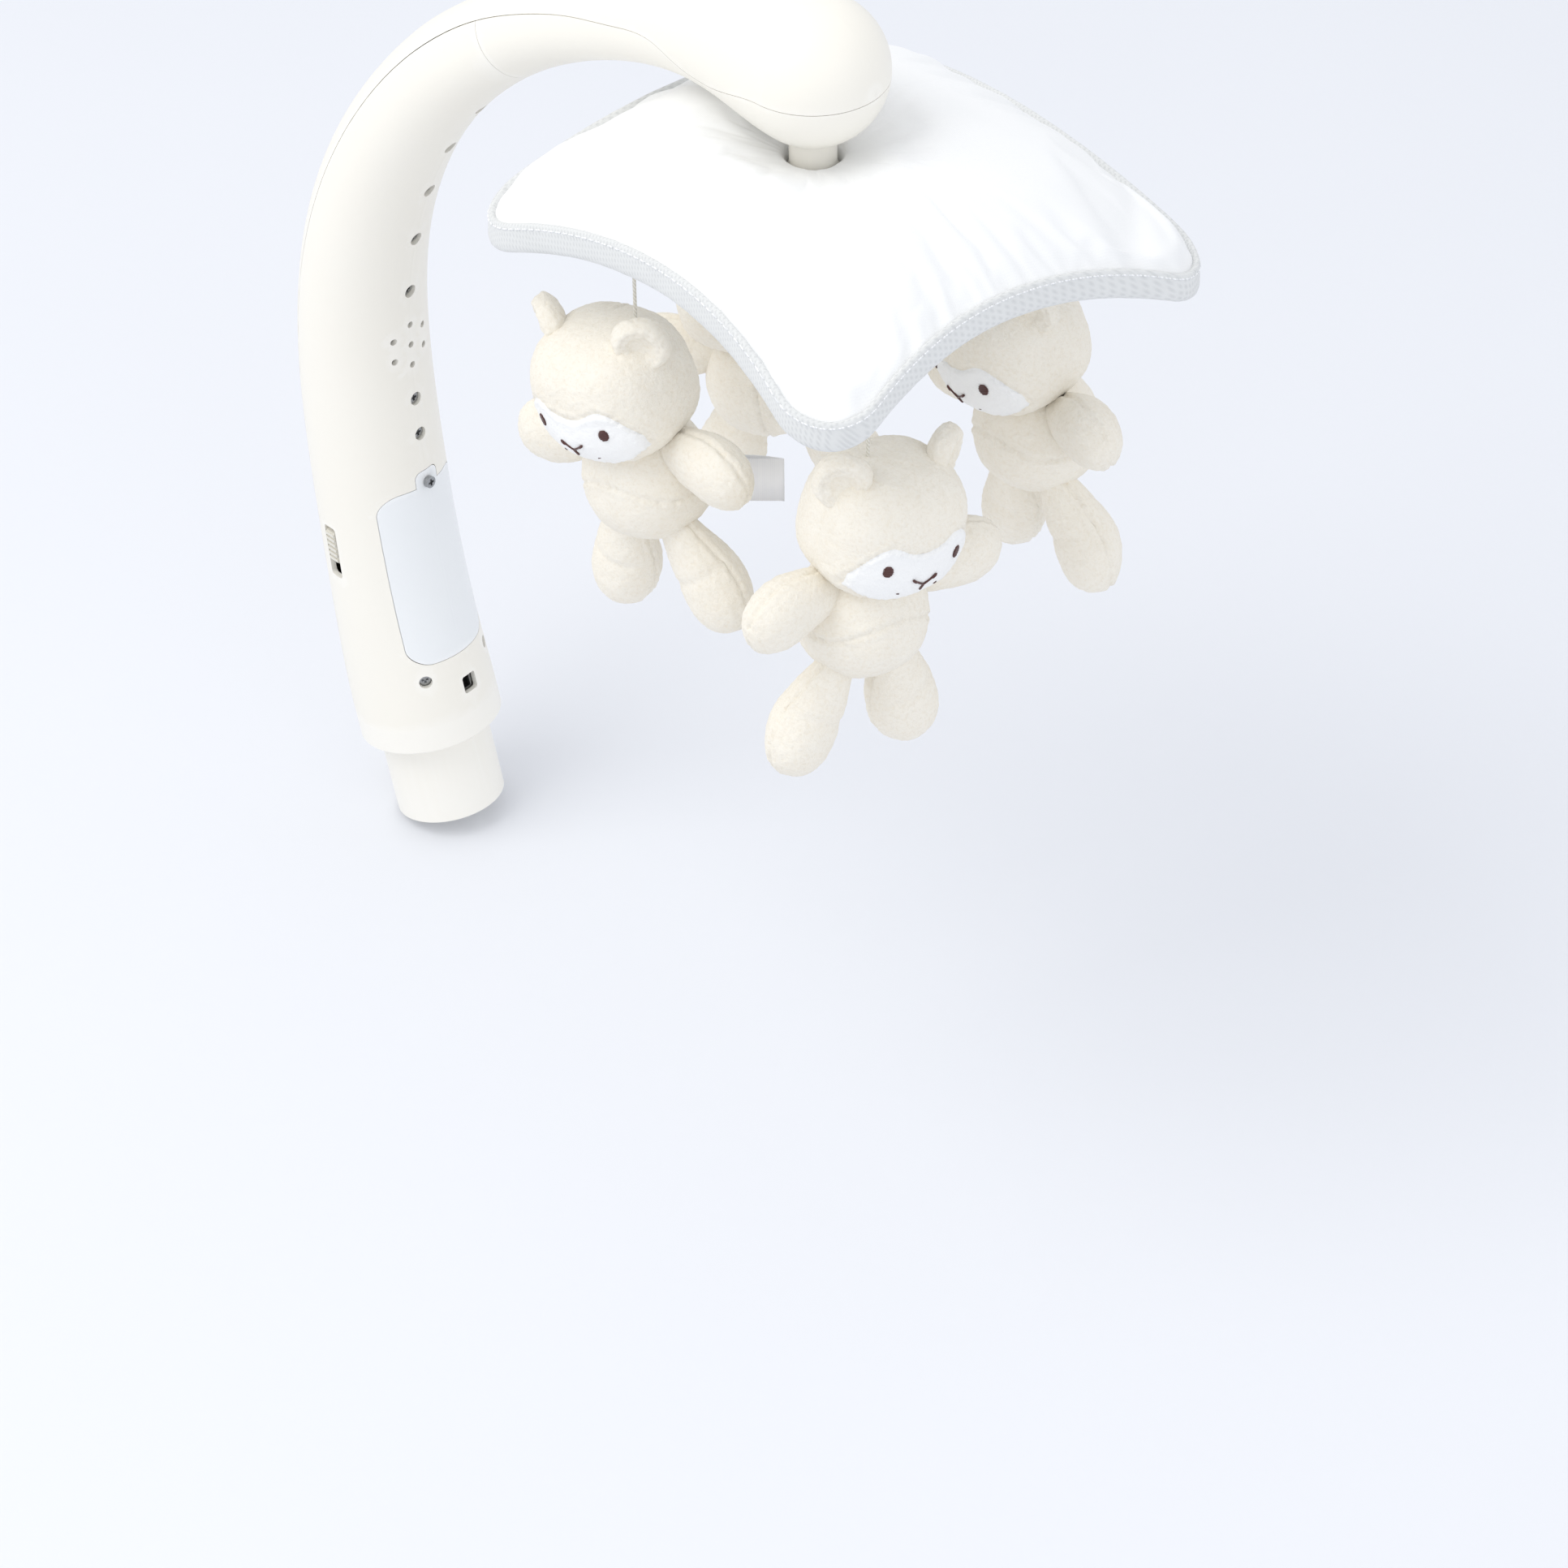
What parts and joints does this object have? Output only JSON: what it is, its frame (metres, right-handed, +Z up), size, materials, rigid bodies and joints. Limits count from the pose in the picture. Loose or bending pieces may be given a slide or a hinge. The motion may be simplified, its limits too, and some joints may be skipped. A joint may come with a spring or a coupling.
{
  "type": "crib mobile",
  "caption": "Crib mobile: bowed hollow arm with a rail plug, battery bay, speaker and geared head that turns a padded star canopy with hanging plush bears.",
  "frame": {"origin": "on the rail plug's axis, at the collar's lower shoulder, where the plug meets its socket", "axes": "+Z up as it stands in use, +X the way the arm reaches out over the crib, +Y to its left"},
  "size_m": [0.3872, 0.2171, 0.4896],
  "materials": {
    "arm_plastic": "moulded ABS, fine satin",
    "door_plastic": "moulded ABS, satin, cooler white",
    "knob_plastic": "moulded, ribbed",
    "inner_plastic": "moulded",
    "gear_nylon": "moulded acetal",
    "screw_steel": "zinc plated",
    "motor_can": "pressed steel",
    "cell_wrap": "plain shrink wrap",
    "board": "solder mask",
    "chips": "moulded epoxy",
    "speaker_black": "paper cone in a steel basket",
    "wire_pvc": "PVC insulation",
    "canopy_cotton": "padded white cotton",
    "binding_twill": "twill binding",
    "plush": "short cream plush",
    "string": "thin cord",
    "label_satin": "plain satin tape"
  },
  "bodies": {
    "arm": {"rail_plug": "arm_plastic", "base_collar": "arm_plastic", "arm_front_shell": "arm_plastic", "arm_back_shell": "arm_plastic", "neck_bottom_shell": "arm_plastic", "shell_screws": "screw_steel", "base_screws": "screw_steel", "battery_tray": "inner_plastic", "battery_cells": "cell_wrap", "battery_contacts": "screw_steel", "circuit_board": "board", "board_components": "chips", "usb_socket": "screw_steel", "speaker": "speaker_black", "switch_body": "inner_plastic", "motor_lead": "wire_pvc", "battery_lead": "wire_pvc", "gearbox_base": "inner_plastic", "gearbox_cover": "inner_plastic", "gearbox_screws": "screw_steel", "gear_axle": "screw_steel", "motor": "motor_can"},
    "battery_door": {"battery_door": "door_plastic", "door_screw": "screw_steel"},
    "switch_knob": {"switch_knob": "knob_plastic"},
    "canopy": {"output_gear": "gear_nylon", "output_shaft": "screw_steel", "canopy_hub": "inner_plastic", "canopy_frame": "inner_plastic", "hub_screw": "screw_steel", "canopy_pad": "canopy_cotton", "canopy_binding": "binding_twill"},
    "compound_gear": {"compound_gear": "gear_nylon"},
    "motor_pinion": {"motor_pinion": "gear_nylon", "motor_shaft": "screw_steel"},
    "bear_1_string": {"bear_1_string": "string"},
    "bear_1": {"bear_1_head": "plush", "bear_1_ears": "plush", "bear_1_torso": "plush", "bear_1_arms": "plush", "bear_1_legs": "plush", "care_label": "label_satin"},
    "bear_2_string": {"bear_2_string": "string"},
    "bear_2": {"bear_2_head": "plush", "bear_2_ears": "plush", "bear_2_torso": "plush", "bear_2_arms": "plush", "bear_2_legs": "plush"},
    "bear_3_string": {"bear_3_string": "string"},
    "bear_3": {"bear_3_head": "plush", "bear_3_ears": "plush", "bear_3_torso": "plush", "bear_3_arms": "plush", "bear_3_legs": "plush"},
    "bear_4_string": {"bear_4_string": "string"},
    "bear_4": {"bear_4_head": "plush", "bear_4_ears": "plush", "bear_4_torso": "plush", "bear_4_arms": "plush", "bear_4_legs": "plush"}
  },
  "joints": [
    {"name": "canopy_spin", "type": "hinge", "parent": "arm", "child": "canopy", "pos_m": [0.21827, 0, 0.38492], "axis": [0, 0, 1], "continuous": true},
    {"name": "compound_gear_spin", "type": "hinge", "parent": "arm", "child": "compound_gear", "pos_m": [0.20788, 0.006, 0.405], "axis": [0, 0, 1], "continuous": true},
    {"name": "motor_spin", "type": "hinge", "parent": "arm", "child": "motor_pinion", "pos_m": [0.20398, -0.00471, 0.41], "axis": [0, 0, 1], "continuous": true},
    {"name": "switch_slide", "type": "slide", "parent": "arm", "child": "switch_knob", "axis": [-0.1254, 0, 0.9921], "range_m": [-0.005, 0]},
    {"name": "battery_door_lift", "type": "slide", "parent": "arm", "child": "battery_door", "axis": [0.9902, 0, 0.1398], "range_m": [0, 0.03]},
    {"name": "bear_1_swing", "type": "hinge", "parent": "canopy", "child": "bear_1_string", "pos_m": [0.17771, -0.05582, 0.36076], "axis": [-0.5878, -0.809, 0], "range_deg": [-8, 8]},
    {"name": "bear_1_twist", "type": "hinge", "parent": "bear_1_string", "child": "bear_1", "pos_m": [0.17771, -0.05582, 0.30076], "axis": [0, 0, 1], "range_deg": [-25, 25]},
    {"name": "bear_2_swing", "type": "hinge", "parent": "canopy", "child": "bear_2_string", "pos_m": [0.28137, -0.04585, 0.35748], "axis": [0.809, -0.5878, 0], "range_deg": [-8, 8]},
    {"name": "bear_2_twist", "type": "hinge", "parent": "bear_2_string", "child": "bear_2", "pos_m": [0.28137, -0.04585, 0.29748], "axis": [0, 0, 1], "range_deg": [-25, 25]},
    {"name": "bear_3_swing", "type": "hinge", "parent": "canopy", "child": "bear_3_string", "pos_m": [0.26941, 0.07038, 0.35376], "axis": [0.5878, 0.809, 0], "range_deg": [-8, 8]},
    {"name": "bear_3_twist", "type": "hinge", "parent": "bear_3_string", "child": "bear_3", "pos_m": [0.26941, 0.07038, 0.29376], "axis": [0, 0, 1], "range_deg": [-25, 25]},
    {"name": "bear_4_swing", "type": "hinge", "parent": "canopy", "child": "bear_4_string", "pos_m": [0.15516, 0.04585, 0.35748], "axis": [-0.809, 0.5878, 0], "range_deg": [-8, 8]},
    {"name": "bear_4_twist", "type": "hinge", "parent": "bear_4_string", "child": "bear_4", "pos_m": [0.15516, 0.04585, 0.29748], "axis": [0, 0, 1], "range_deg": [-25, 25]}
  ],
  "couplings": [
    {"joint": "compound_gear_spin", "follows": "canopy_spin", "ratio": -3},
    {"joint": "motor_spin", "follows": "canopy_spin", "ratio": 8.4}
  ]
}
